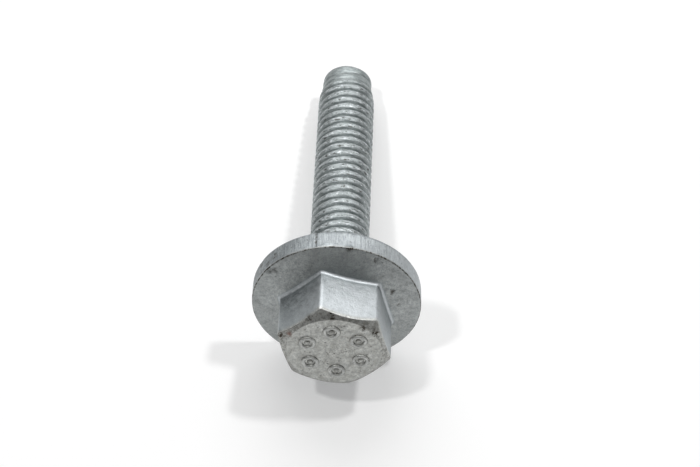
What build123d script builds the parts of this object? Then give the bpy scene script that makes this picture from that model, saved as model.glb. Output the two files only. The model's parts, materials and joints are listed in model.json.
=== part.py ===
from build123d import *

import math
import os

# A flange bolt, cold-formed in one piece: a hexagon head on a wide round flange, and a
# shank threaded from just under the flange to a slimmer point. The bolt is modelled on
# its own axis, head up, with the flange's bearing face at height 0, and is then laid
# down as it comes to rest, on the rim of the flange and the edge of its point.

# Driving sizes, in millimetres and degrees

# Hexagon
head_height = 8.0  # bearing face to the top of the hexagon
width_across_flats = 9.8
hex_corner_radius = 0.45  # rounding of the six upright edges
top_face_diameter = 9.0  # flat circle that the corner chamfer leaves
top_chamfer_angle = 30.0  # slope of that chamfer, from level
hex_root_bevel = 0.3  # between hexagon and flange

# Flange
flange_diameter = 16.4
rim_thickness = 2.1  # upright edge of the flange
flange_slope = 15.0  # the front of the flange rises this steeply towards the hexagon
rim_back_chamfer = 0.25
rim_front_chamfer = 0.1

# Thread, right-hand
shank_length = 30.0  # bearing face to the end of the point
thread_diameter = 5.9  # over the crests of the coated thread
thread_pitch = 1.0
thread_depth = 0.5
crest_rise = 0.24  # the crest is rounded: it stands this far above its two shoulders
groove_width = 0.4  # from shoulder to shoulder across the groove
thread_start_angle = 176.8  # where the first crest starts, around the axis

# Plain neck under the flange
neck_length = 1.9
neck_root_bevel = 0.3  # between neck and bearing face
runout_length = 1.1  # stretch over which the thread grows out of the neck

# Point
point_length = 1.2  # slim lead at the end of the shank
point_diameter = 5.2
point_taper_length = 2.4  # cone from the full thread down to the point
point_runout_length = 1.2  # stretch over which the groove fades into the point
point_chamfer = 0.35

# Pose
hex_turn = 13.8  # how far round from straight up a corner of the hexagon stands

# Sizes that follow from the driving ones
flange_radius = flange_diameter / 2
crest_radius = thread_diameter / 2
shoulder_radius = crest_radius - crest_rise
root_radius = crest_radius - thread_depth
blank_radius = crest_radius - thread_depth / 2  # rolling lifts as much as it presses in
point_radius = point_diameter / 2


def revolved(outline):
    """A solid of revolution about the bolt's axis, from (radius, height) corners."""
    return revolve(make_face(Polyline([(r, 0, z) for r, z in outline], close=True)), Axis.Z)


def thread_rail(radius, height):
    """One turn of a right-hand helix."""
    return Edge.make_helix(thread_pitch, thread_pitch, radius, center=(0, 0, height)).edge()


def closed_off(rail, section):
    """The two faces that close the thread at an end rail: a ramp to the axis and its step."""
    low, high = (rail @ 0).Z, (rail @ 1).Z
    ramp = Face.make_surface_from_curves(rail, Edge.make_line((0, 0, low), (0, 0, high)))
    teeth = [(radius, 0, low + offset) for radius, offset in section]
    step = Face(Wire.make_polygon([(0, 0, low), *teeth, (rail @ 1), (0, 0, high)], close=True))
    return [ramp, step]


def threaded_bar():
    """A bar with the true helical thread, a turn longer than the shank at both ends.

    Every turn is four ruled strips between rails: down from the crest to its shoulder,
    down the flank to the root, up to the next shoulder and up to the next crest.
    """
    shoulder = (thread_pitch - groove_width) / 2
    section = [
        (crest_radius, 0),
        (shoulder_radius, shoulder),
        (root_radius, thread_pitch / 2),
        (shoulder_radius, thread_pitch - shoulder),
    ]
    turns = math.ceil(shank_length / thread_pitch) + 2
    foot = (1 - turns) * thread_pitch
    rails = [
        thread_rail(radius, foot + turn * thread_pitch + offset)
        for turn in range(turns)
        for radius, offset in section
    ]
    rails.append(thread_rail(crest_radius, foot + turns * thread_pitch))
    strips = [Face.make_surface_from_curves(a, b) for a, b in zip(rails, rails[1:])]
    ends = closed_off(rails[0], section) + closed_off(rails[-1], section)
    return Rot(0, 0, thread_start_angle) * Solid(Shell(strips + ends))


def shank():
    """The threaded bar, turned down to the neck at one end and the point at the other."""
    clear = crest_radius + crest_rise
    core_radius = root_radius - crest_rise
    point_start = point_length - shank_length
    runout_slope = (crest_radius - blank_radius) / runout_length
    taper_slope = (crest_radius - point_radius) / point_taper_length
    outline = revolved(
        [
            (0, -neck_length),
            (blank_radius, -neck_length),
            (clear, -neck_length - (clear - blank_radius) / runout_slope),
            (clear, point_start + (clear - point_radius) / taper_slope),
            (point_radius - taper_slope * point_length / 2, point_start - point_length / 2),
            (0, point_start - point_length / 2),
        ]
    )
    core = revolved(
        [
            (0, rim_thickness / 2),
            (blank_radius + neck_root_bevel, rim_thickness / 2),
            (blank_radius + neck_root_bevel, 0),
            (blank_radius, -neck_root_bevel),
            (blank_radius, -neck_length),
            (core_radius, -neck_length - runout_length),
            (core_radius, point_start + point_runout_length),
            (point_radius, point_start),
            (point_radius, point_chamfer - shank_length),
            (point_radius - point_chamfer, -shank_length),
            (0, -shank_length),
        ]
    )
    return (threaded_bar() & outline) + core


def hexagon():
    """The hexagon, with its corners cut by the chamfer cone."""
    section = RegularPolygon(width_across_flats / 2, 6, major_radius=False)
    prism = extrude(fillet(section.vertices(), hex_corner_radius), head_height)
    face_radius = top_face_diameter / 2
    drop = (width_across_flats - face_radius) * math.tan(math.radians(top_chamfer_angle))
    cone = revolved(
        [
            (0, 0),
            (width_across_flats, 0),
            (width_across_flats, head_height - drop),
            (face_radius, head_height),
            (0, head_height),
        ]
    )
    return Rot(0, 0, 90) * (prism & cone)


def flange():
    """The round flange, with its front sloping up to the hexagon."""
    slope = math.tan(math.radians(flange_slope))
    return revolved(
        [
            (0, 0),
            (flange_radius - rim_back_chamfer, 0),
            (flange_radius, rim_back_chamfer),
            (flange_radius, rim_thickness - rim_front_chamfer),
            (flange_radius - rim_front_chamfer, rim_thickness),
            (0, rim_thickness + slope * (flange_radius - rim_front_chamfer)),
        ]
    )


def head():
    """The hexagon on its flange, with a bevel all round where they meet."""
    upper, lower = hexagon(), flange()
    whole = upper + lower
    return chamfer(new_edges(upper, lower, combined=whole), hex_root_bevel)


def rest_slope():
    """How steeply the axis lies, in degrees, once flange and point both touch the floor.

    The floor meets the corner that each one's chamfer leaves nearest to it.
    """
    rise = flange_radius - point_radius
    run = shank_length - point_chamfer + rim_back_chamfer
    return math.degrees(math.atan2(rise, run))


def laid_down(bolt):
    """The bolt at rest: head towards -Y, the middle of its box over the origin, on Z = 0."""
    turned = Rot(90 - rest_slope(), 0, 0) * Rot(0, 0, hex_turn) * bolt
    box = turned.bounding_box()
    return Pos(-box.center().X, -box.center().Y, -box.min.Z) * turned


flange_bolt = laid_down(head() + shank())

os.makedirs("parts", exist_ok=True)
export_step(flange_bolt, "parts/flange_bolt.step")
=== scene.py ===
"""A flange bolt of dull zinc-coated steel, lying on its flange and its point.

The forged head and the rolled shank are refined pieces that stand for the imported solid.
Sizes are in millimetres, in the bolt's own frame: the bearing face of the flange is at
height 0 and the head points up. One matrix lays each finished piece down where the
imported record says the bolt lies.
"""

import json
import logging
import math
from dataclasses import dataclass
from enum import Enum
from typing import ClassVar, Iterable

import bpy
import numpy as np
from mathutils import Matrix, Vector, noise


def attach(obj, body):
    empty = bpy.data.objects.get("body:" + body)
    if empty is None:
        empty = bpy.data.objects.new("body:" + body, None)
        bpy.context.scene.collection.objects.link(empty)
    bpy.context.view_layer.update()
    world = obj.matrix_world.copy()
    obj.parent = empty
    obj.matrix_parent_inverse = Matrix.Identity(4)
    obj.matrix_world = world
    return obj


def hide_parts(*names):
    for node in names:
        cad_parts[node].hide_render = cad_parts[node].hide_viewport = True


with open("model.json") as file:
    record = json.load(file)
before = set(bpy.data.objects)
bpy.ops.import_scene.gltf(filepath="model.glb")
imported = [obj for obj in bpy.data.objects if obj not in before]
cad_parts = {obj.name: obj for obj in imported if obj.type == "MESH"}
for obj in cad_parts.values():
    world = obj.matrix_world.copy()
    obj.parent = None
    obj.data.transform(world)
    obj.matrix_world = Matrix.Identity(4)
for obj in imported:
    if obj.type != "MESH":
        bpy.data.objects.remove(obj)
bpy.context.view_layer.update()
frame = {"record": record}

log = logging.getLogger("flange_bolt")

Tree = bpy.types.NodeTree
Socket = bpy.types.NodeSocket
Sockets = dict[str, Socket]

MM = 0.001
NODE = "flange_bolt"
BODY = "root"

SIXTH_TURN = math.pi / 3
WHITE = (1.0, 1.0, 1.0, 1.0)
NOISE_ROUGHNESS = 0.6  # of every noise pattern

# A Mix node's sockets for colours and for numbers have the same names
MIX_A, MIX_B, MIX_RESULT = 6, 7, 2
MIX_FLOAT_A, MIX_FLOAT_B = 2, 3

# The operations of work_out that a Map Range node does
RANGES = ("LINEAR", "SMOOTHSTEP")


def linear(hex_colour: str) -> tuple[float, float, float, float]:
    """Turns an sRGB hex colour into linear light.

    Args:
        hex_colour: six hex digits, such as "a0a19f".

    Returns:
        Red, green, blue and an alpha of 1.
    """
    parts = [int(hex_colour[i : i + 2], 16) / 255 for i in (0, 2, 4)]
    red, green, blue = [
        c / 12.92 if c <= 0.04045 else ((c + 0.055) / 1.055) ** 2.4 for c in parts
    ]
    return red, green, blue, 1.0


def add_node(
    tree: Tree, kind: str, inputs: dict | None = None, **settings: object
) -> bpy.types.Node:
    """Adds one node, with its settings, values and links.

    Args:
        tree: the shader or geometry tree that gets the node.
        kind: the node's type name.
        inputs: input name or number, to a value or to the socket that feeds it.
        settings: properties of the node, by name.

    Returns:
        The new node.
    """
    node = tree.nodes.new(kind)
    for name, value in settings.items():
        setattr(node, name, value)
    for key, value in (inputs or {}).items():
        if isinstance(value, Socket):
            tree.links.new(value, node.inputs[key])
        else:
            node.inputs[key].default_value = value
    return node


def work_out(tree: Tree, known: Sockets, steps: Iterable[tuple]) -> None:
    """Works out named values in a tree, each from those before it.

    Args:
        tree: the shader or geometry tree that gets the nodes.
        known: sockets by name, to which the new values are added.
        steps: name, operation and terms of each value. A term is a number or the name of a
            value. LINEAR and SMOOTHSTEP take the first term from the range between the
            next two to the range between the last two, which is 0 to 1 if not given.

    Returns:
        Nothing.
    """
    for name, operation, *terms in steps:
        kind, setting = "ShaderNodeMath", "operation"
        if operation in RANGES:
            kind, setting = "ShaderNodeMapRange", "interpolation_type"
        inputs = {place: known.get(term, term) for place, term in enumerate(terms)}
        known[name] = add_node(tree, kind, inputs, **{setting: operation}).outputs[0]


def open_tree(name: str, sizes: dict[str, float]) -> tuple[Tree, Sockets]:
    """Starts a geometry tree that has a named input for each size and for the finish.

    Args:
        name: the tree's name.
        sizes: the value of each input, by name. A whole number makes a count.

    Returns:
        The tree, and the sockets of its inputs by name.
    """
    tree = bpy.data.node_groups.new(name, "GeometryNodeTree")
    for size, value in sizes.items():
        kind = "NodeSocketInt" if isinstance(value, int) else "NodeSocketFloat"
        socket = tree.interface.new_socket(size, in_out="INPUT", socket_type=kind)
        socket.default_value = value
    tree.interface.new_socket("Finish", in_out="INPUT", socket_type="NodeSocketMaterial")
    tree.interface.new_socket("Geometry", in_out="OUTPUT", socket_type="NodeSocketGeometry")
    given = add_node(tree, "NodeGroupInput").outputs
    return tree, {size: given[size] for size in (*sizes, "Finish")}


def close_tree(
    tree: Tree, geometry: Socket, stages: Iterable[tuple[str, dict, dict]], finish: Socket
) -> None:
    """Sends a geometry through a tree's last nodes, gives it its finish and puts it out.

    Args:
        tree: the geometry tree.
        geometry: the socket that gives the geometry.
        stages: kind, inputs and settings of each node that takes it in and gives it out.
        finish: the socket that gives the material.

    Returns:
        Nothing; the tree is complete.
    """
    for kind, inputs, settings in (*stages, ("GeometryNodeSetMaterial", {"Material": finish}, {})):
        node = add_node(tree, kind, {"Geometry": geometry, **inputs}, **settings)
        geometry = node.outputs["Geometry"]
    add_node(tree, "NodeGroupOutput", {"Geometry": geometry})


def layer_stages(layers: dict[str, object]) -> list[tuple[str, dict, dict]]:
    """Lists the stages that store named layers of values on a geometry's points.

    Args:
        layers: a number or a socket for each name.

    Returns:
        Stages for close_tree.
    """
    stages = []
    for name, value in layers.items():
        vector = getattr(value, "type", "VALUE") == "VECTOR"
        settings = {"data_type": "FLOAT_VECTOR" if vector else "FLOAT", "domain": "POINT"}
        stages.append(("GeometryNodeStoreNamedAttribute", {"Name": name, "Value": value}, settings))
    return stages


def solid_object(name: str, points: np.ndarray, faces: list[tuple[int, ...]]) -> bpy.types.Object:
    """Makes a mesh object from points and faces and links it to the scene.

    Args:
        name: the object's name.
        points: one row of x, y, z for each vertex.
        faces: vertex numbers of each face, counter-clockwise from outside.

    Returns:
        The object.
    """
    mesh = bpy.data.meshes.new(name)
    mesh.from_pydata(points.tolist(), [], faces)
    mesh.validate()
    thing = bpy.data.objects.new(name, mesh)
    bpy.context.scene.collection.objects.link(thing)
    return thing


@dataclass(frozen=True)
class Pose:
    """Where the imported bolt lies, read from the mounts of its record."""

    head_height: float = 8.0
    hex_turn_deg: float = 13.8

    def matrix(self) -> Matrix:
        """Finds the matrix from the bolt's own frame to the row frame.

        Returns:
            A matrix that also turns millimetres into metres.
        """
        mounts = {mount["name"]: mount for mount in frame["record"]["mounts"]}
        drive = mounts["hex_drive"]
        axis = Vector(drive["axis"]).normalized()
        origin = Vector(drive["pos_m"]) - axis * self.head_height * MM
        across = Vector((1, 0, 0))
        upward = axis.cross(across)
        turned = Matrix((across, upward, axis)).transposed().to_4x4()
        spin = Matrix.Rotation(math.radians(self.hex_turn_deg), 4, "Z")
        return Matrix.Translation(origin) @ turned @ spin @ Matrix.Scale(MM, 4)


@dataclass(frozen=True)
class Nicks:
    """The noise that says where the thread's crests are nicked, in shape and in colour."""

    along_mm: float = 0.5
    across_mm: float = 0.2
    detail: float = 3.0
    low: float = 0.58
    high: float = 0.63


@dataclass(frozen=True)
class ZincCoatedSteel:
    """Cold-formed steel with a dull zinc coat: a mottled cool grey with a soft sheen.

    The coat is a metal, so it keeps the default IOR. Attributes of the mesh say where it
    differs: the attribute of wear and painted shading is positive where edges have rubbed
    bright and where a highlight is painted on, and negative where dirt holds and where
    shade is painted on; "struck" is the warmer, pitted face that the die left, "rim" is
    streaked along the bolt's axis, "threaded" is drawn along the thread by the rolling,
    "rust" is rusty, and "unrolled" is where a point lies along and across the thread.
    """

    name: str = "steel_zinc_coated_cold_formed"
    coat: str = "a6acae"
    coat_dark: str = "92989a"
    struck: str = "c5c6c2"
    struck_dark: str = "aaaaa5"
    streak: str = "7e8386"
    rolled: str = "aeb5b5"
    rolled_dark: str = "858c8c"
    grainy: str = "7f8588"
    # This light tone paints rubbed edges and painted highlights: along the fillet at the hexagon's
    # root, on its sides that face up, on one side of the rim and on the thread's crests
    rubbed: str = "dfe3e6"
    # This dark tone paints dirt and painted shade: along the rim's front edge, on the rim's side
    # away from the light and in the thread's roots
    dirt: str = "3f3a33"
    rust: str = "8d5f52"
    metallic: float = 1.0
    roughness: tuple[float, float] = (0.42, 0.6)
    lie_deg: float = -10.608
    mottle_mm: float = 1.5
    blotch_mm: float = 0.45
    # The coat's crystals are a few hundredths of a millimetre and would not show
    grain_mm: float = 0.15
    # The marks of the die on the rim are as fine, and are drawn coarser too
    streak_mm: float = 0.16
    streak_stretch: float = 7.0
    pit_mm: float = 0.3
    cake_mm: float = 0.32
    drag_along_mm: float = 1.1
    drag_across_mm: float = 0.16
    nicks: Nicks = Nicks()
    bump_mm: float = 0.03
    bump_strength: float = 0.6
    crest_wear: float = 0.2

    def build(self) -> bpy.types.Material:
        """Makes the material's nodes.

        Returns:
            The material.
        """
        material = bpy.data.materials.new(self.name)
        material.use_nodes = True
        tree = material.node_tree
        tree.nodes.clear()
        known = self._patterns(tree)
        work_out(tree, known, self._shares())
        depths = {"Strength": self.bump_strength, "Distance": self.bump_mm * MM}
        bump = add_node(tree, "ShaderNodeBump", {"Height": known["relief"], **depths})
        surface = {"Base Color": self._colour(tree, known), "Metallic": self.metallic}
        surface |= {"Roughness": known["rough"], "Normal": bump.outputs["Normal"]}
        shader = add_node(tree, "ShaderNodeBsdfPrincipled", surface).outputs["BSDF"]
        add_node(tree, "ShaderNodeOutputMaterial", {"Surface": shader})
        return material

    def _patterns(self, tree: Tree) -> Sockets:
        """Reads the mesh's attributes and lays the noise patterns over the surface.

        Args:
            tree: the material's tree.

        Returns:
            The sockets of the attributes and the patterns, by name.
        """
        known = {
            name: add_node(tree, "ShaderNodeAttribute", attribute_name=name).outputs["Fac"]
            for name in ("wear", "struck", "rim", "threaded", "rust")
        }
        where = add_node(tree, "ShaderNodeTexCoord").outputs["Object"]
        along_axis = add_node(
            tree,
            "ShaderNodeMapping",
            {
                "Vector": where,
                "Rotation": (math.radians(self.lie_deg), 0, 0),
                "Scale": (1, self.streak_stretch, 1),
            },
            vector_type="TEXTURE",
        ).outputs["Vector"]
        read = add_node(tree, "ShaderNodeAttribute", attribute_name="unrolled")
        nick_place, drag_place = [
            add_node(
                tree,
                "ShaderNodeMapping",
                {"Vector": read.outputs["Vector"], "Scale": (1 / along, 1 / across, 1)},
            ).outputs["Vector"]
            for along, across in (
                (self.nicks.along_mm, self.nicks.across_mm),
                (self.drag_along_mm, self.drag_across_mm),
            )
        ]
        for name, vector, size, detail in (
            ("mottle", where, self.mottle_mm * MM, 5.0),
            ("blotch", where, self.blotch_mm * MM, 4.0),
            ("grain", where, self.grain_mm * MM, 3.0),
            ("pit", where, self.pit_mm * MM, 2.0),
            ("streak", along_axis, self.streak_mm * MM, 3.0),
            ("cake", where, self.cake_mm * MM, 5.0),
            ("drag", drag_place, 1.0, 3.0),
            ("nick", nick_place, 1.0, self.nicks.detail),
        ):
            noise_inputs = {"Vector": vector, "Scale": 1 / size, "Detail": detail}
            noise_inputs["Roughness"] = NOISE_ROUGHNESS
            known[name] = add_node(tree, "ShaderNodeTexNoise", noise_inputs).outputs["Fac"]
        return known

    def _shares(self) -> tuple[tuple, ...]:
        """Lists how much of each pattern shows where, the roughness and the relief.

        Returns:
            Steps for work_out, from the attributes and patterns.
        """
        return (
            # Where a pattern begins to show and where it shows in full
            ("mottled", "LINEAR", "mottle", 0.36, 0.64),
            ("blotched", "LINEAR", "blotch", 0.35, 0.65),
            ("pitted", "LINEAR", "pit", 0.64, 0.72),
            ("streaked", "LINEAR", "streak", 0.47, 0.58),
            ("grained", "LINEAR", "grain", 0.42, 0.62),
            ("caked", "LINEAR", "cake", 0.47, 0.56),
            ("dragged", "LINEAR", "drag", 0.38, 0.62),
            ("nicked", "LINEAR", "nick", self.nicks.low, self.nicks.high),
            ("scraped", "LINEAR", "nick", 0.43, 0.37),
            # Rubbed bright and painted highlight where the attribute is positive, dirt and painted
            # shade where it is negative
            ("rubbed", "LINEAR", "wear", 0.0, 1.0),
            ("soiled", "LINEAR", "wear", 0.0, -1.0),
            ("worn_crest", "LINEAR", "wear", 0.0, self.crest_wear),
            # The regions that keep a pattern to themselves
            ("crest", "MULTIPLY", "worn_crest", "threaded"),
            ("rim_streaks", "MULTIPLY", "streaked", "rim"),
            ("patchy_rub", "MULTIPLY", "rubbed", "blotched"),
            ("patchy_dirt", "MULTIPLY", "soiled", "caked"),
            ("crest_scrapes", "MULTIPLY", "scraped", "crest"),
            ("crest_nicks", "MULTIPLY", "nicked", "crest"),
            ("thread_drags", "MULTIPLY", "dragged", "threaded"),
            ("struck_pits", "MULTIPLY", "pitted", "struck"),
            ("rim_pits", "MULTIPLY", "pitted", "rim"),
            ("rusted", "MULTIPLY", "blotched", "rust"),
            ("rough", "LINEAR", "blotch", 0.3, 0.7, *self.roughness),
            # The relief, as parts of the bump's height that are added to the grain
            ("relief", "MULTIPLY_ADD", "blotched", -0.5, "grain"),
            ("relief", "MULTIPLY_ADD", "rim_streaks", -0.8, "relief"),
            ("relief", "MULTIPLY_ADD", "thread_drags", -1.0, "relief"),
            ("relief", "MULTIPLY_ADD", "struck_pits", -1.2, "relief"),
            ("relief", "MULTIPLY_ADD", "crest_nicks", -0.8, "relief"),
            ("relief", "MULTIPLY_ADD", "crest_scrapes", 1.2, "relief"),
        )

    def _colour(self, tree: Tree, known: Sockets) -> Socket:
        """Mixes the surface's colour, from the clean coat up to the dirt and painted shade on it,
        with painted highlights among the layers.

        Args:
            tree: the material's tree.
            known: the sockets of attributes, patterns and shares, by name.

        Returns:
            The socket that gives the colour.
        """
        clean = {
            name: add_node(
                tree,
                "ShaderNodeMix",
                {0: known[share], MIX_A: linear(light), MIX_B: linear(dark)},
                data_type="RGBA",
            ).outputs[MIX_RESULT]
            for name, share, light, dark in (
                ("coat", "mottled", self.coat, self.coat_dark),
                ("struck", "blotched", self.struck, self.struck_dark),
                ("threaded", "dragged", self.rolled, self.rolled_dark),
            )
        }
        colour = clean["coat"]
        for share, strength, tone in (
            ("struck", 1.0, clean["struck"]),
            ("threaded", 1.0, clean["threaded"]),
            ("grained", 0.42, linear(self.grainy)),
            ("rim_streaks", 0.7, linear(self.streak)),
            # Rubbed edges and painted highlights
            ("rubbed", 0.35, linear(self.rubbed)),
            ("patchy_rub", 0.45, linear(self.rubbed)),
            ("crest_scrapes", 0.8, linear(self.rubbed)),
            ("rusted", 0.8, linear(self.rust)),
            # Dirt, with painted shade in it
            ("soiled", 0.42, linear(self.dirt)),
            ("patchy_dirt", 1.2, linear(self.dirt)),
            ("struck_pits", 0.55, linear(self.dirt)),
            ("rim_pits", 0.5, linear(self.dirt)),
            ("crest_nicks", 0.8, linear(self.dirt)),
        ):
            work_out(tree, known, [("amount", "MULTIPLY", share, strength)])
            colour = add_node(
                tree,
                "ShaderNodeMix",
                {0: known["amount"], MIX_A: colour, MIX_B: tone},
                data_type="RGBA",
            ).outputs[MIX_RESULT]
        return colour


@dataclass(frozen=True)
class Corner:
    """A corner of a head section: where it is, its rounding, and how it has worn, with the
    painted highlight and painted shade on it.

    The run that leads to the corner has a value of its own for these; "struck" and "rim"
    hold for the run and the corner.
    """

    radius: float
    height: float
    rounding: float = 0.0
    wear: float = 0.0
    spans: int = 1
    run_wear_and_shading: float = 0.0
    struck: float = 0.0
    rim: float = 0.0


@dataclass(frozen=True)
class Blemish:
    """A small dent or stain on the head, round a place in the bolt's own frame.

    Place, reach and sink are in millimetres; dirt and rust are shares of 1.
    """

    x: float
    y: float
    height: float
    reach: float
    sink: float = 0.0
    dirt: float = 0.0
    rust: float = 0.0

    def share(self, points: np.ndarray) -> np.ndarray:
        """Says how strongly each point is marked.

        Args:
            points: one row of x, y, z for each point, in millimetres.

        Returns:
            A share for each point, 1 in the middle and 0 beyond the reach.
        """
        away = np.linalg.norm(points - np.array((self.x, self.y, self.height)), axis=1)
        return np.clip(1 - (away / self.reach) ** 2, 0, 1)


BLEMISHES = (
    # A crescent that something pressed into the front of the flange
    Blemish(-5.05, 6.0, 2.2, 0.26, sink=0.16, dirt=0.35),
    Blemish(-4.8, 6.22, 2.2, 0.22, sink=0.14, dirt=0.45),
    Blemish(-4.5, 6.25, 2.2, 0.22, sink=0.14, dirt=0.35),
    Blemish(-4.35, 6.05, 2.25, 0.22, sink=0.14, dirt=0.3),
    # Scores beside the hexagon
    Blemish(5.9, 1.5, 2.65, 0.28, sink=0.06, dirt=0.7),
    Blemish(5.75, 1.2, 2.7, 0.25, sink=0.05, dirt=0.5),
    Blemish(6.1, -0.55, 2.65, 0.24, sink=0.03, dirt=0.9),
    # Chips at the front edge of the rim and on the rim
    Blemish(5.2, 5.65, 2.2, 0.28, sink=0.08, dirt=0.7),
    Blemish(5.05, 5.4, 2.25, 0.2, sink=0.05, dirt=0.6),
    Blemish(3.15, 7.5, 2.05, 0.5, dirt=0.7),
    Blemish(-4.35, 6.9, 1.15, 0.4, sink=0.05, dirt=0.8),
    Blemish(-6.1, 5.45, 0.5, 0.5, sink=0.05, dirt=0.6),
    Blemish(-5.2, 6.3, 1.5, 0.35, sink=0.05, dirt=0.6),
    # Dirt and a speck of rust at the chamfer
    Blemish(0.85, 4.75, 7.8, 0.5, sink=0.04, dirt=1.0),
    Blemish(3.4, 2.65, 8.0, 0.4, sink=0.05, dirt=1.0),
    Blemish(4.35, 1.8, 7.85, 0.45, dirt=0.9),
    Blemish(-4.6, 2.75, 7.45, 0.55, dirt=0.9),
    Blemish(-1.3, 4.85, 7.6, 0.5, dirt=0.6),
    Blemish(-3.55, 3.2, 7.85, 0.4, rust=1.0),
)


@dataclass
class Head:
    """The forged head: a hexagon on a round flange, down to the fillet at the neck."""

    pose: Pose
    across_flats: float = 9.8
    hex_corner_radius: float = 0.45
    hex_corner_deg: float = 90.0
    top_face_radius: float = 4.5
    top_chamfer_deg: float = 30.0
    flange_radius: float = 8.2
    rim_thickness: float = 2.1
    flange_slope_deg: float = 15.0
    top_edge_radius: float = 0.15
    chamfer_edge_radius: float = 0.14
    rim_front_radius: float = 0.15
    rim_back_radius: float = 0.28
    hex_root_radius: float = 0.36
    neck_radius: float = 2.7
    neck_root_radius: float = 0.3
    # The closed stub that the head reaches into the shank with
    stub_length: float = 0.6
    stub_bevel: tuple[float, float] = (0.05, 0.02)
    # Where the painted highlight on the hexagon's sides and the rim's painted light and shade face,
    # and the wear of the hexagon's upright edges between two margins
    lit_side_deg: float = 30.0
    rim_lit_side_deg: float = 70.0
    upright_wear: float = 0.8
    upright_margins: tuple[float, float] = (1.2, 0.3)
    side_tolerance: float = 0.02
    # The line across the rim where the die parts
    rim_seam_deg: float = 90.0
    seam_half_deg: float = 0.6
    seam_depth: float = 0.04
    seam_wear: float = -0.6
    # Unevenness that forging leaves: wavelengths, the finer one's share, and depth
    forging_wave: float = 2.2
    fine_wave: float = 0.7
    fine_share: float = 0.35
    forging_depth: float = 0.04
    neck_margin: float = 0.1
    # How finely the surface is divided
    corner_sections: int = 11
    side_sections: int = 42
    arc_steps: int = 5

    def angles(self) -> np.ndarray:
        """Spaces the sections round the axis, closer together at the hexagon's corners.

        Returns:
            Directions in radians, from a corner of the hexagon.
        """
        reach = self._corner_reach()
        near = np.linspace(-reach, reach, self.corner_sections)
        across = np.linspace(reach, SIXTH_TURN - reach, self.side_sections + 2)[1:-1]
        one = np.concatenate([near, across])
        return np.concatenate([one + SIXTH_TURN * k for k in range(6)])

    def _corner_reach(self) -> float:
        """Finds half the angle, seen from the axis, that a hexagon corner's rounding spans.

        Returns:
            The angle in radians.
        """
        half = SIXTH_TURN / 2
        centre = (self.across_flats / 2 - self.hex_corner_radius) / math.cos(half)
        rise = self.hex_corner_radius * math.sin(half)
        return math.atan2(rise, centre + self.hex_corner_radius * math.cos(half))

    def hexagon_radius(self, angle: float) -> float:
        """How far the hexagon's side is from the axis.

        Args:
            angle: direction from the axis in radians, 0 at a corner.

        Returns:
            The distance in millimetres.
        """
        half = SIXTH_TURN / 2
        off = abs((angle + half) % SIXTH_TURN - half)
        if off > self._corner_reach():
            return self.across_flats / 2 / math.cos(half - off)
        centre = (self.across_flats / 2 - self.hex_corner_radius) / math.cos(half)
        inner = self.hex_corner_radius**2 - (centre * math.sin(off)) ** 2
        return centre * math.cos(off) + math.sqrt(inner)

    def section(self, angle: float) -> list[Corner]:
        """Lists the corners of the head's section, from the top's middle to the neck.

        Args:
            angle: direction of the section in radians, 0 at a corner of the hexagon.

        Returns:
            The corners in order.
        """
        side = self.hexagon_radius(angle)
        top = self.pose.head_height
        drop = (side - self.top_face_radius) * math.tan(math.radians(self.top_chamfer_deg))
        slope = math.tan(math.radians(self.flange_slope_deg))
        foot = self.rim_thickness + slope * (self.flange_radius - side)
        rubbed = math.cos(angle + math.radians(self.lit_side_deg))
        rim_lit = math.cos(angle + math.radians(self.rim_lit_side_deg))
        # The hexagon's top edge: lighter, a painted highlight, on the side that faces up, and
        # darker with dirt round the rest
        chamfer_dirt_and_highlight = max(-0.8, 1.4 * rubbed - 1.0)
        # The hexagon's sides: slightly rubbed all round, with a painted highlight on the sides that
        # face up, the top facet most
        side_rub_and_highlight = 0.08 + 0.75 * max(0.0, rubbed) ** 2
        # The rim: lighter towards one side and darker towards the other, painted light and shade
        rim_light_and_shade = max(-0.14, 0.45 * rim_lit + 0.03)
        rounding, flange, rim = self.chamfer_edge_radius, self.flange_radius, self.rim_thickness
        stub_in, stub_down = self.stub_bevel
        stub_end = -self.stub_length - stub_down
        return [
            Corner(0.0, top),
            Corner(self.top_face_radius, top, self.top_edge_radius, 0.1, 24, struck=1.0),
            Corner(side, top - drop, rounding, chamfer_dirt_and_highlight, 9, run_wear_and_shading=-0.3, struck=1.0),
            # A painted highlight along the fillet at the hexagon's root
            Corner(side, foot, self.hex_root_radius, 1.0, 12, run_wear_and_shading=side_rub_and_highlight),
            # A painted dark line along the rim's front edge, painted shade
            Corner(flange, rim, self.rim_front_radius, -1.0, 26, run_wear_and_shading=-0.05, struck=0.4),
            Corner(flange, 0.0, self.rim_back_radius, 0.4, 12, run_wear_and_shading=rim_light_and_shade, rim=1.0),
            # Darker in the corner at the neck's root
            Corner(self.neck_radius, 0.0, self.neck_root_radius, -0.3, 10),
            Corner(self.neck_radius, -self.stub_length, spans=2),
            Corner(self.neck_radius - stub_in, stub_end),
            Corner(0.0, stub_end, spans=2),
        ]

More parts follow.
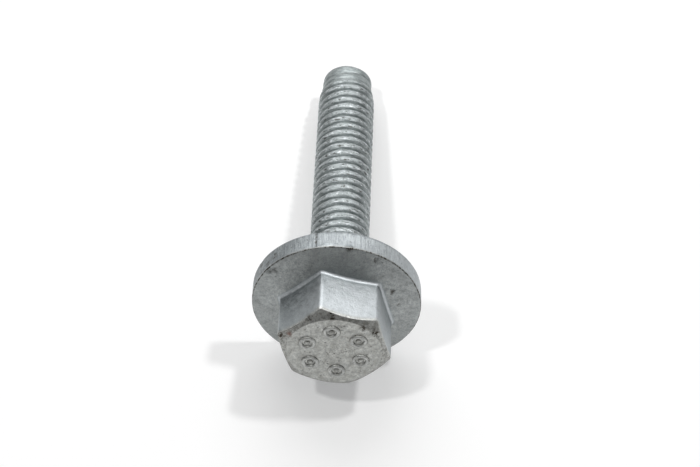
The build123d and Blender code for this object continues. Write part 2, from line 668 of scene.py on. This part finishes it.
    def rounded(self, corners: list[Corner]) -> list[tuple[float, ...]]:
        """Rounds each corner of a section with an arc and divides its straight runs.

        Args:
            corners: the section's corners.

        Returns:
            Radius, height, wear and painted shading, struck and rim of each point.
        """
        points = [(corners[0].radius, corners[0].height, 0.0, 0.0, 0.0)]
        for before, here, after in zip(corners, corners[1:], corners[2:] + [None]):
            start = Vector(points[-1][:2])
            place = Vector((here.radius, here.height))
            if here.rounding and after:
                back = (Vector((before.radius, before.height)) - place).normalized()
                ahead = (Vector((after.radius, after.height)) - place).normalized()
                half = back.angle(ahead) / 2
                run = here.rounding / math.tan(half)
                middle = place + (back + ahead).normalized() * here.rounding / math.sin(half)
                first = (place + back * run - middle).normalized()
                last = (place + ahead * run - middle).normalized()
                arc = [
                    middle + first.slerp(last, step / self.arc_steps) * here.rounding
                    for step in range(self.arc_steps + 1)
                ]
            else:
                arc = [place]
            for step in range(1, here.spans):
                spot = start.lerp(arc[0], step / here.spans)
                points.append((spot.x, spot.y, here.run_wear_and_shading, here.struck, here.rim))
            for step, spot in enumerate(arc):
                share = math.sin(math.pi * step / max(1, len(arc) - 1))
                points.append((spot.x, spot.y, here.wear * share, here.struck, here.rim))
        return points

    def _forged(self, point: Vector) -> Vector:
        """Moves a point a little inwards, as forging leaves no surface quite true.

        Args:
            point: a point of the true form.

        Returns:
            The point on the forged surface.
        """
        swell = noise.noise(point / self.forging_wave)
        swell += noise.noise(point / self.fine_wave) * self.fine_share
        sink = self.forging_depth * (0.5 + 0.5 * swell)
        flat = Vector((point.x, point.y, 0.0))
        if flat.length < self.neck_radius + self.neck_root_radius + self.neck_margin:
            share = max(0.0, point.z) / self.pose.head_height
            return Vector((point.x, point.y, point.z - sink * share))
        inwards = flat * (sink / flat.length)
        return point - inwards - Vector((0, 0, sink * point.z / self.pose.head_height))

    def _blemished(
        self, points: np.ndarray, layers: np.ndarray
    ) -> tuple[np.ndarray, np.ndarray]:
        """Presses the dents in and lays the stains on.

        Args:
            points: one row of x, y, z for each vertex.
            layers: one row of wear and painted shading, struck and rim for each vertex.

        Returns:
            The moved points, and the layers with a column for rust added.
        """
        true, points = points, points.copy()
        layers = np.column_stack([layers, np.zeros(len(layers))])
        on_rim = layers[:, 2] > 0
        radius = np.hypot(true[:, 0], true[:, 1])
        inwards = true * (1, 1, 0) / np.maximum(radius, 1)[:, None]
        for blemish in BLEMISHES:
            share = blemish.share(true)
            way = np.where(on_rim[:, None], inwards, (0, 0, 1))
            points -= way * (share * blemish.sink)[:, None]
            layers[:, 0] -= share * blemish.dirt
            layers[:, 3] += share * blemish.rust
        return points, layers

    def _ring(
        self, angle: float, section: list[tuple[float, ...]]
    ) -> list[tuple[tuple[float, ...], tuple[float, ...]]]:
        """Finds the surface points of one section, with its wear and painted shading.

        Args:
            angle: direction of the section in radians, from a corner of the hexagon.
            section: radius, height, wear and painted shading, struck and rim of its points
            off the axis.

        Returns:
            Place, and wear and painted shading, struck and rim, of each point.
        """
        direction = angle + math.radians(self.hex_corner_deg)
        side = self.hexagon_radius(angle)
        off = abs((angle + SIXTH_TURN / 2) % SIXTH_TURN - SIXTH_TURN / 2)
        upright = max(0.0, 1 - off / self._corner_reach())
        seam = math.radians(self.rim_seam_deg)
        from_seam = abs((direction - seam + math.pi) % (2 * math.pi) - math.pi)
        low = self.rim_thickness + self.upright_margins[0]
        high = self.pose.head_height - self.upright_margins[1]
        ring = []
        for radius, height, worn, struck, rim in section:
            if abs(radius - side) < self.side_tolerance and low < height < high:
                worn = max(worn, self.upright_wear * upright)
            if rim and from_seam < math.radians(self.seam_half_deg):
                worn, radius = self.seam_wear, radius - self.seam_depth
            true = (radius * math.cos(direction), radius * math.sin(direction), height)
            ring.append((tuple(self._forged(Vector(true))), (worn, struck, rim)))
        return ring

    def build(self, finish: bpy.types.Material) -> bpy.types.Object:
        """Makes the head as one closed mesh.

        Args:
            finish: the material of its surface.

        Returns:
            The head, in place in the row frame.
        """
        angles = self.angles()
        sections = [self.rounded(self.section(angle)) for angle in angles]
        rings = [self._ring(angle, section[1:-1]) for angle, section in zip(angles, sections)]
        turns, inner = len(rings), len(rings[0])
        points = [place for ring in rings for place, _ in ring]
        layers = [layer for ring in rings for _, layer in ring]
        # The two ends on the axis
        top, bottom = len(points), len(points) + 1
        points += [(0, 0, sections[0][0][1] - self.forging_depth / 2), (0, 0, sections[0][-1][1])]
        layers += [(0.0, 1.0, 0.0), (0.0, 0.0, 0.0)]
        points, layers = self._blemished(np.array(points), np.array(layers))
        faces = []
        for turn in range(turns):
            here, there = turn * inner, (turn + 1) % turns * inner
            faces.append((top, here, there))
            faces += [
                (here + k, here + k + 1, there + k + 1, there + k) for k in range(inner - 1)
            ]
            faces.append((bottom, there + inner - 1, here + inner - 1))
        head = solid_object("bolt_head", points, faces)
        for name, values in zip(("wear", "struck", "rim", "rust"), layers.T):
            head.data.attributes.new(name, "FLOAT", "POINT").data.foreach_set("value", values)
        head.data.transform(self.pose.matrix())
        head.data.polygons.foreach_set("use_smooth", [True] * len(head.data.polygons))
        head.data.materials.append(finish)
        return head


@dataclass
class NodePiece:
    """A piece that a geometry tree makes. Each kind has a name and a tree of its own."""

    pose: Pose
    name: ClassVar[str] = ""

    def tree(self) -> Tree:
        """Builds the node tree, in each kind's own way."""
        raise NotImplementedError

    def build(self, finish: bpy.types.Material) -> bpy.types.Object:
        """Runs the tree once and keeps its result as a plain, smooth mesh.

        Args:
            finish: the material that goes to the tree's input "Finish".

        Returns:
            The piece, at the origin, with its mesh in place in the row frame.
        """
        tree = self.tree()
        seed = solid_object(self.name + "_seed", np.zeros((1, 3)), [])
        maker = seed.modifiers.new(tree.name, "NODES")
        maker.node_group = tree
        sockets = {
            item.name: item.identifier
            for item in tree.interface.items_tree
            if item.in_out == "INPUT"
        }
        maker[sockets["Finish"]] = finish
        bpy.context.view_layer.update()
        ready = seed.evaluated_get(bpy.context.evaluated_depsgraph_get())
        mesh = bpy.data.meshes.new_from_object(ready)
        bpy.data.objects.remove(seed)
        mesh.name = self.name
        mesh.transform(self.pose.matrix())
        mesh.polygons.foreach_set("use_smooth", [True] * len(mesh.polygons))
        piece = bpy.data.objects.new(self.name, mesh)
        bpy.context.scene.collection.objects.link(piece)
        return piece


@dataclass
class HeadMarks(NodePiece):
    """Plain raised rings round the head's face, each with a bead in its middle."""

    name: ClassVar[str] = "bolt_head_marks"
    count: int = 6
    circle_radius: float = 2.8
    first_deg: float = 21.0
    ring_radius: float = 0.66
    wire_radius: float = 0.21
    bead_radius: float = 0.3
    bead_squash: float = 0.5
    sunk: float = 0.05
    wear: tuple[float, float] = (-0.75, 0.3)  # darker at a mark's foot and lighter at its top

    def _mark(self, tree: Tree, given: Sockets) -> Socket:
        """Makes one mark, with few faces as it is repeated.

        Args:
            tree: the geometry tree.
            given: the sockets of the tree's inputs, by name.

        Returns:
            The socket that gives the mark.
        """
        path, section = [
            add_node(
                tree,
                "GeometryNodeCurvePrimitiveCircle",
                {"Resolution": steps, "Radius": given[radius]},
            ).outputs["Curve"]
            for steps, radius in ((32, "Ring Radius"), (10, "Wire Radius"))
        ]
        ring = add_node(
            tree, "GeometryNodeCurveToMesh", {"Curve": path, "Profile Curve": section}
        ).outputs["Mesh"]
        bead = add_node(
            tree,
            "GeometryNodeMeshUVSphere",
            {"Segments": 16, "Rings": 8, "Radius": given["Bead Radius"]},
        ).outputs["Mesh"]
        low_bead = add_node(
            tree, "GeometryNodeTransform", {"Geometry": bead, "Scale": (1, 1, self.bead_squash)}
        ).outputs["Geometry"]
        mark = add_node(tree, "GeometryNodeJoinGeometry")
        tree.links.new(ring, mark.inputs[0])
        tree.links.new(low_bead, mark.inputs[0])
        return mark.outputs["Geometry"]

    def tree(self) -> Tree:
        """Builds the node tree that sets one mark at each place on a circle.

        Returns:
            The geometry tree.
        """
        tree, given = open_tree(
            "raised_marks",
            {
                "Count": self.count,
                "Circle Radius": self.circle_radius,
                "First Angle": math.radians(self.first_deg),
                "Ring Radius": self.ring_radius,
                "Wire Radius": self.wire_radius,
                "Bead Radius": self.bead_radius,
                "Height": self.pose.head_height - self.sunk,
            },
        )
        places = add_node(
            tree,
            "GeometryNodeMeshCircle",
            {"Vertices": given["Count"], "Radius": given["Circle Radius"]},
        ).outputs["Mesh"]
        marks = add_node(
            tree,
            "GeometryNodeInstanceOnPoints",
            {"Points": places, "Instance": self._mark(tree, given)},
        ).outputs["Instances"]
        turn, lift = [
            add_node(tree, "ShaderNodeCombineXYZ", {"Z": given[size]}).outputs[0]
            for size in ("First Angle", "Height")
        ]
        place = add_node(tree, "GeometryNodeInputPosition").outputs["Position"]
        known = dict(given)
        known["level"] = add_node(tree, "ShaderNodeSeparateXYZ", {0: place}).outputs["Z"]
        work_out(
            tree,
            known,
            (
                ("top", "ADD", "Height", "Wire Radius"),
                ("over_top", "SUBTRACT", "level", "top"),
                ("worn", "LINEAR", "over_top", -self.wire_radius, 0.0, *self.wear),
            ),
        )
        close_tree(
            tree,
            marks,
            (
                ("GeometryNodeTransform", {"Translation": lift, "Rotation": turn}, {}),
                ("GeometryNodeRealizeInstances", {}, {}),
                *layer_stages({"wear": known["worn"], "struck": 1.0}),
            ),
            given["Finish"],
        )
        return tree


@dataclass
class Shank(NodePiece):
    """The rolled shank: a neck, a right-hand thread and a slimmer point."""

    name: ClassVar[str] = "bolt_shank"
    length: float = 30.0
    overlap: float = 0.5  # how far the neck reaches into the head
    pitch: float = 1.0
    crest_radius: float = 2.95
    groove_depth: float = 0.5
    crest_breadth: float = 3.0  # power of the groove's section; more is a broader crest
    point_thread: float = 0.22  # share of the thread's depth that is left on the point
    start_angle_deg: float = 176.8
    seam_turn_deg: float = 90.0
    neck_radius: float = 2.7
    neck_length: float = 1.9
    runout_length: float = 1.1
    point_radius: float = 2.6
    point_length: float = 1.2
    point_taper_length: float = 2.4
    point_rounding: float = 0.4
    # Crests are rubbed bright and carry a painted highlight from the first depth below the crest
    # line, in full at the second
    rub_and_highlight_depths: tuple[float, float] = (0.16, 0.02)
    crest_rub_and_highlight: float = 0.22
    # Painted shade in the thread's roots: where it starts, as a share of the groove's depth, and
    # how dark it gets
    root_shade_from: float = 0.7
    root_shade: float = 0.8
    # Nicks press in by this share of the rub, and stop short of the grid's seam
    nick_depth: float = 0.35
    nicks: Nicks = Nicks()
    seam_margins: tuple[float, float] = (0.3, 0.1)
    rows_per_turn: int = 14
    columns: int = 145
    merge_distance: float = 0.0005
    # The fields that the tree takes as inputs, beside its two angles
    INPUTS: ClassVar[tuple[str, ...]] = (
        *("pitch", "length", "crest_radius", "crest_breadth", "groove_depth", "nick_depth"),
        *("neck_radius", "neck_length", "runout_length", "point_radius", "point_length"),
        *("point_taper_length", "point_rounding", "point_thread"),
    )

    def _form(self, start: float, turns: int) -> tuple[tuple, ...]:
        """Lists the steps that work out a grid point's radius and height on the shank.

        Args:
            start: height of the grid's first row, in millimetres down from the flange.
            turns: how many turns of thread the grid has.

        Returns:
            Steps for work_out, from the grid's own "around" and "lengthways".
        """
        tapering = ("down", "taper_start", "point_start")
        return (
            # Where the point is: "base" is its row's place, "down" how far along the axis
            ("angle", "ADD", "around", "seam_turn"),
            ("arc_length", "MULTIPLY", "angle", "crest_radius"),
            ("base", "ADD", "lengthways", start + turns * self.pitch / 2),
            ("rise", "MULTIPLY", "angle", "pitch"),
            ("wound", "DIVIDE", "rise", 2 * math.pi),
            ("down", "SUBTRACT", "base", "wound"),
            # How deep the groove is there, from 0 at a crest to 1 at the root
            ("turn_share", "DIVIDE", "start_angle", 2 * math.pi),
            ("base_share", "DIVIDE", "base", "pitch"),
            ("phase", "SUBTRACT", "base_share", "turn_share"),
            ("from_crest", "PINGPONG", "phase", 0.5),
            ("across_groove", "MULTIPLY", "from_crest", 2.0),
            ("groove", "POWER", "across_groove", "crest_breadth"),
            # How full the thread is, between the neck and the point
            ("thread_start", "ADD", "neck_length", "runout_length"),
            ("point_start", "SUBTRACT", "length", "point_length"),
            ("taper_start", "SUBTRACT", "point_start", "point_taper_length"),
            ("neck_share", "SMOOTHSTEP", "down", "neck_length", "thread_start"),
            ("point_share", "SMOOTHSTEP", *tapering, 1.0, "point_thread"),
            ("fullness", "MULTIPLY", "neck_share", "point_share"),
            ("full_cut", "MULTIPLY", "groove", "groove_depth"),
            ("cut", "MULTIPLY", "full_cut", "fullness"),
            # The outline that the groove is cut into
            ("swell", "LINEAR", "neck_share", 0.0, 1.0, "neck_radius", "crest_radius"),
            ("taper", "SMOOTHSTEP", *tapering, "crest_radius", "point_radius"),
            ("outline", "MINIMUM", "swell", "taper"),
            ("pointed", "SUBTRACT", "outline", "cut"),
            # The quarter circle that rounds the point's edge
            ("rounding_start", "SUBTRACT", "length", "point_rounding"),
            ("into_round", "LINEAR", "down", "rounding_start", "length"),
            ("squared", "POWER", "into_round", 2.0),
            ("left", "SUBTRACT", 1.0, "squared"),
            ("arc", "SQRT", "left"),
            ("lost", "SUBTRACT", 1.0, "arc"),
            ("rounding", "MULTIPLY", "lost", "point_rounding"),
            ("rounded", "SUBTRACT", "pointed", "rounding"),
            # Past either end the rows close in to the axis
            ("past_end", "SUBTRACT", "down", "length"),
            ("before_start", "SUBTRACT", -self.overlap, "down"),
            ("outside", "MAXIMUM", "past_end", "before_start"),
            ("closing", "MAXIMUM", "outside", 0.0),
            ("narrowed", "SUBTRACT", "rounded", "closing"),
            ("radius", "MAXIMUM", "narrowed", 0.0),
            ("after_start", "MAXIMUM", "down", -self.overlap),
            ("depth", "MINIMUM", "after_start", "length"),
            ("height", "MULTIPLY", "depth", -1.0),
        )

    def _surface(self) -> tuple[tuple, ...]:
        """Lists the steps that nick the crests, place the point and say how it has worn and
        where it has painted highlight and painted shade.

        Returns:
            Steps for work_out, from the form and the noise "nick".
        """
        rub_and_highlight_radii = [self.crest_radius - depth for depth in self.rub_and_highlight_depths]
        fading = [math.pi - margin for margin in self.seam_margins]
        return (
            ("rubbed", "LINEAR", "radius", *rub_and_highlight_radii, 0.0, self.crest_rub_and_highlight),
            ("nicked", "LINEAR", "nick", self.nicks.low, self.nicks.high),
            ("from_seam", "ABSOLUTE", "around"),
            ("seam_fade", "LINEAR", "from_seam", *fading, 1.0, 0.0),
            ("pressed", "MULTIPLY", "rubbed", "nick_depth"),
            ("nick_sink", "MULTIPLY", "pressed", "nicked"),
            ("faded_sink", "MULTIPLY", "nick_sink", "seam_fade"),
            ("nicked_radius", "SUBTRACT", "radius", "faded_sink"),
            ("cosine", "COSINE", "angle"),
            ("sine", "SINE", "angle"),
            ("x", "MULTIPLY", "nicked_radius", "cosine"),
            ("y", "MULTIPLY", "nicked_radius", "sine"),
            # Painted shade in the thread's roots
            ("root_line", "LINEAR", "groove", self.root_shade_from, 1.0, 0.0, self.root_shade),
            ("soiled", "MULTIPLY", "root_line", "fullness"),
            ("worn", "SUBTRACT", "rubbed", "soiled"),
            ("before_end", "SUBTRACT", 1.0, "into_round"),
            ("rolled", "MULTIPLY", "neck_share", "before_end"),
        )

    def tree(self) -> Tree:
        """Builds the node tree that winds a grid round the axis along the thread.

        Every row of the grid is a helix of one phase, so the section is the same all
        the way. Past either end of the shank the rows close in to the axis.

        Returns:
            The geometry tree.
        """
        sizes = {size: getattr(self, size) for size in self.INPUTS}
        sizes["start_angle"] = math.radians(self.start_angle_deg)
        sizes["seam_turn"] = math.radians(self.seam_turn_deg)
        tree, given = open_tree("rolled_thread", sizes)
        # The grid is a turn longer than the shank and what closes its ends
        start = -self.neck_radius - self.pitch
        end = self.length + self.crest_radius + self.pitch
        turns = math.ceil((end - start) / self.pitch) + 1
        extent = {"Size X": 2 * math.pi, "Size Y": turns * self.pitch}
        extent |= {"Vertices X": self.columns, "Vertices Y": turns * self.rows_per_turn + 1}
        grid = add_node(tree, "GeometryNodeMeshGrid", extent).outputs["Mesh"]
        place = add_node(tree, "GeometryNodeInputPosition").outputs["Position"]
        flat = add_node(tree, "ShaderNodeSeparateXYZ", {0: place}).outputs
        known = given | {"around": flat["X"], "lengthways": flat["Y"]}
        work_out(tree, known, self._form(start, turns))
        unrolled = add_node(
            tree, "ShaderNodeCombineXYZ", {"X": known["arc_length"], "Y": known["down"]}
        ).outputs[0]
        nick_place = add_node(
            tree,
            "ShaderNodeVectorMath",
            {0: unrolled, 1: (1 / self.nicks.along_mm, 1 / self.nicks.across_mm, 1)},
            operation="MULTIPLY",
        ).outputs[0]
        noise_inputs = {"Vector": nick_place, "Scale": 1.0, "Detail": self.nicks.detail}
        noise_inputs["Roughness"] = NOISE_ROUGHNESS
        known["nick"] = add_node(tree, "ShaderNodeTexNoise", noise_inputs).outputs["Fac"]
        work_out(tree, known, self._surface())
        wound_place = add_node(
            tree, "ShaderNodeCombineXYZ", {"X": known["x"], "Y": known["y"], "Z": known["height"]}
        ).outputs[0]
        layers = {"wear": known["worn"], "threaded": known["rolled"], "unrolled": unrolled}
        close_tree(
            tree,
            grid,
            (
                *layer_stages(layers),
                ("GeometryNodeSetPosition", {"Position": wound_place}, {}),
                ("GeometryNodeMergeByDistance", {"Distance": self.merge_distance}, {}),
                ("GeometryNodeRealizeInstances", {}, {}),
            ),
            given["Finish"],
        )
        return tree


@dataclass(frozen=True)
class Viewpoint:
    """Where the camera stands, in degrees and millimetres, and what lens it has."""

    azimuth_deg: float = -1.9
    elevation_deg: float = 57.03
    distance: float = 196.6
    target: tuple[float, float, float] = (0.965, -2.202, 5.0)
    lens: float = 100.1
    sensor: float = 36.0
    nearest: float = 5.0

    def build(self) -> bpy.types.Object:
        """Makes the camera and gives it to the scene.

        Returns:
            The camera.
        """
        azimuth = math.radians(self.azimuth_deg)
        elevation = math.radians(self.elevation_deg)
        level = math.cos(elevation)
        sideways, forward = math.sin(azimuth) * level, math.cos(azimuth) * level
        ahead = Vector((sideways, forward, -math.sin(elevation)))
        data = bpy.data.cameras.new("camera")
        data.lens = self.lens
        data.sensor_width = self.sensor
        data.clip_start = self.nearest * MM
        camera = bpy.data.objects.new("camera", data)
        camera.location = (Vector(self.target) - ahead * self.distance) * MM
        camera.rotation_euler = ahead.to_track_quat("-Z", "Y").to_euler()
        bpy.context.scene.collection.objects.link(camera)
        bpy.context.scene.camera = camera
        return camera


class Lamp(Enum):
    """The studio's lamps: place, size across in millimetres, and power in watts."""

    SPOT_RIGHT = ((198, 86, 448), 40, 0.72)
    SPOT_LEFT = ((-178, -76, 456), 40, 0.56)
    SOFTBOX = ((-40, 350, 390), 480, 1.2)


def seen_share(tree: Tree) -> Socket:
    """Tells the rays that show the surroundings, direct or mirrored, from the others.

    Args:
        tree: the shader tree that gets the nodes.

    Returns:
        The socket that gives 1 on such rays and 0 on others.
    """
    rays = add_node(tree, "ShaderNodeLightPath").outputs
    known = {kind: rays[f"Is {kind} Ray"] for kind in ("Camera", "Glossy", "Transmission")}
    steps = (
        ("seen", "MAXIMUM", "Camera", "Glossy"),
        ("seen", "MAXIMUM", "seen", "Transmission"),
    )
    work_out(tree, known, steps)
    return known["seen"]


@dataclass(frozen=True)
class MattPaper:
    """White paper, uncoated: it has no sheen, so only the shadows show on it.

    It shines a little, on camera rays and mirrored rays alone. So it shows and mirrors
    white and keeps its shadows, and its diffuse light on the bolt stays the same.
    """

    name: str = "paper_matt_white"
    colour: str = "e0e0e0"
    lift: float = 0.28

    def build(self) -> bpy.types.Material:
        """Makes the material's nodes.

        Returns:
            The material.
        """
        material = bpy.data.materials.new(self.name)
        material.use_nodes = True
        tree = material.node_tree
        tree.nodes.clear()
        known = {"seen": seen_share(tree)}
        work_out(tree, known, [("glow", "MULTIPLY", "seen", self.lift)])
        matt = add_node(tree, "ShaderNodeBsdfDiffuse", {"Color": linear(self.colour)}).outputs[0]
        glow = add_node(
            tree, "ShaderNodeEmission", {"Color": WHITE, "Strength": known["glow"]}
        ).outputs[0]
        both = add_node(tree, "ShaderNodeAddShader", {0: matt, 1: glow}).outputs[0]
        add_node(tree, "ShaderNodeOutputMaterial", {"Surface": both})
        return material


@dataclass(frozen=True)
class Room:
    """The world round the bolt: bright behind it, darker in front of it.

    The camera itself sees plain white, and mirrored rays see a brighter room.
    """

    bright_side: tuple[float, float, float] = (0.1, 0.35, 0.93)
    dark: float = 0.02
    bright: float = 0.32
    fades: tuple[float, float] = (0.1, 0.7)
    mirrored_gain: float = 2.7
    backdrop: float = 1.0

    def build(self) -> bpy.types.World:
        """Makes the world's nodes and gives it to the scene.

        Returns:
            The world.
        """
        world = bpy.data.worlds.new("studio_room")
        bpy.context.scene.world = world
        world.use_nodes = True
        tree = world.node_tree
        tree.nodes.clear()
        facing = add_node(tree, "ShaderNodeTexCoord").outputs["Generated"]
        towards = add_node(
            tree,
            "ShaderNodeVectorMath",
            {0: facing, 1: Vector(self.bright_side).normalized()},
            operation="DOT_PRODUCT",
        ).outputs["Value"]
        known = {"towards": towards}
        steps = (
            ("level", "SMOOTHSTEP", "towards", *self.fades, self.dark, self.bright),
            ("mirrored", "MULTIPLY", "level", self.mirrored_gain),
        )
        work_out(tree, known, steps)
        ray = add_node(tree, "ShaderNodeLightPath").outputs["Is Camera Ray"]
        strength = known["level"]
        for share, other in ((seen_share(tree), known["mirrored"]), (ray, self.backdrop)):
            mixed = {0: share, MIX_FLOAT_A: strength, MIX_FLOAT_B: other}
            strength = add_node(tree, "ShaderNodeMix", mixed, data_type="FLOAT").outputs[0]
        light = add_node(
            tree, "ShaderNodeBackground", {"Color": WHITE, "Strength": strength}
        ).outputs[0]
        add_node(tree, "ShaderNodeOutputWorld", {"Surface": light})
        return world


@dataclass
class Studio:
    """A white floor and soft light from behind and above."""

    floor_size: float = 4000.0

    def floor(self) -> bpy.types.Object:
        """Makes the floor.
        """
        half = self.floor_size / 2
        corners = [(-half, -half, 0), (half, -half, 0), (half, half, 0), (-half, half, 0)]
        floor = solid_object("studio_floor", np.array(corners) * MM, [(0, 1, 2, 3)])
        floor.data.materials.append(MattPaper().build())
        return floor

    def lamps(self) -> None:
        """Places the lamps, all turned to the bolt.

        Returns:
            Nothing; the lamps are linked to the scene.
        """
        for lamp in Lamp:
            place, size, power = lamp.value
            data = bpy.data.lights.new(lamp.name.lower(), "AREA")
            data.shape = "DISK"
            data.size = size * MM
            data.energy = power
            thing = bpy.data.objects.new(lamp.name.lower(), data)
            thing.location = Vector(place) * MM
            thing.rotation_euler = Vector(place).to_track_quat("Z", "Y").to_euler()
            bpy.context.scene.collection.objects.link(thing)

    def build(self) -> None:
        """Sets up the floor, the lamps, the world and the view transform.

        Returns:
            Nothing; all of it is in the scene.
        """
        self.floor()
        self.lamps()
        Room().build()
        bpy.context.scene.view_settings.view_transform = "Standard"


def dress(piece: bpy.types.Object) -> None:
    """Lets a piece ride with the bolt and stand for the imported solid, and reports it.

    Args:
        piece: a finished piece, in place.

    Returns:
        Nothing.
    """
    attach(piece, BODY)
    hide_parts(NODE)
    log.info("%s: %d faces", piece.name, len(piece.data.polygons))


def main() -> None:
    """Builds the bolt and its studio, in order, and reports each piece.
    """
    logging.basicConfig(level=logging.INFO, format="%(message)s")
    pose = Pose()
    steel = ZincCoatedSteel().build()
    dress(Head(pose).build(steel))
    dress(HeadMarks(pose).build(steel))
    dress(Shank(pose).build(steel))
    Studio().build()
    Viewpoint().build()


if __name__ == "__main__":
    main()
